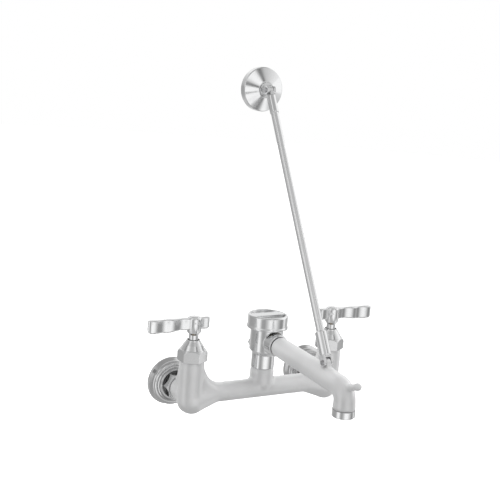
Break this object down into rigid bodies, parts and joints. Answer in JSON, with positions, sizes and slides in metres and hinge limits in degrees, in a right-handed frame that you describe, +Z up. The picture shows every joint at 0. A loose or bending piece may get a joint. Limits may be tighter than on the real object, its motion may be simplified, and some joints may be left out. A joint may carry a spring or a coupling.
{
  "type": "utility sink faucet",
  "caption": "Wall-mounted utility sink faucet: cast yoke with lever valves, vacuum breaker, spout with pail hook and hose outlet, and a hinged brace up to the wall.",
  "frame": {"origin": "on the wall plane, midway between the two supply inlets, at the height of their axes", "axes": "+X right along the wall seen from the front, +Y into the wall, +Z up"},
  "size_m": [0.3272, 0.2704, 0.4372],
  "materials": {
    "cast_chrome": "rough chrome over the cast surface, satin",
    "chrome": "polished chrome plate",
    "brass": "bare machined brass, inside the valves and breaker",
    "rubber": "black moulded seal rubber",
    "ceramic": "lapped white ceramic",
    "steel": "plain stainless steel"
  },
  "bodies": {
    "faucet": {"yoke_body": "cast_chrome", "inlet_shank_hot": "chrome", "inlet_shank_cold": "chrome", "coupling_nut_hot": "chrome", "coupling_nut_cold": "chrome", "union_washer_hot": "rubber", "union_washer_cold": "rubber", "wall_flange_hot": "chrome", "wall_flange_cold": "chrome", "seat_seal_hot": "rubber", "seat_seal_cold": "rubber", "fixed_disc_hot": "ceramic", "fixed_disc_cold": "ceramic", "cartridge_sleeve_hot": "brass", "cartridge_sleeve_cold": "brass", "bonnet_hot": "chrome", "bonnet_cold": "chrome", "breaker_body": "chrome", "breaker_bonnet": "brass", "breaker_cap": "chrome", "rear_plug": "chrome", "spout": "cast_chrome", "spout_washer": "rubber", "spout_rings": "rubber", "lock_screw": "steel", "hose_collar": "chrome"},
    "hot_handle": {"moving_disc_hot": "ceramic", "spindle_hot": "brass", "stem_ring_hot": "rubber", "lever_hot": "chrome", "handle_screw_hot": "steel", "index_button_hot": "chrome"},
    "cold_handle": {"moving_disc_cold": "ceramic", "spindle_cold": "brass", "stem_ring_cold": "rubber", "lever_cold": "chrome", "handle_screw_cold": "steel", "index_button_cold": "chrome"},
    "float_valve": {"float": "brass", "float_seal": "rubber"},
    "brace": {"brace_fork": "chrome", "fork_pin": "steel", "brace_rod": "cast_chrome", "brace_eye": "chrome"},
    "wall_bracket": {"brace_bracket": "chrome", "bracket_pin": "steel", "brace_flange": "chrome"}
  },
  "joints": [
    {"name": "hot_turn", "type": "hinge", "parent": "faucet", "child": "hot_handle", "pos_m": [-0.1016, -0.06, 0.09], "axis": [0, 0, 1], "range_deg": [0, 90]},
    {"name": "cold_turn", "type": "hinge", "parent": "faucet", "child": "cold_handle", "pos_m": [0.1016, -0.06, 0.09], "axis": [0, 0, 1], "range_deg": [-90, 0]},
    {"name": "float_lift", "type": "slide", "parent": "faucet", "child": "float_valve", "axis": [0, 0, 1], "range_m": [0, 0.0036]},
    {"name": "brace_swing", "type": "hinge", "parent": "faucet", "child": "brace", "pos_m": [0, -0.203, 0.0783], "axis": [1, 0, 0], "range_deg": [0, 90]},
    {"name": "flange_tilt", "type": "hinge", "parent": "brace", "child": "wall_bracket", "pos_m": [0, -0.0245, 0.378], "axis": [1, 0, 0], "range_deg": [-25, 45]}
  ]
}
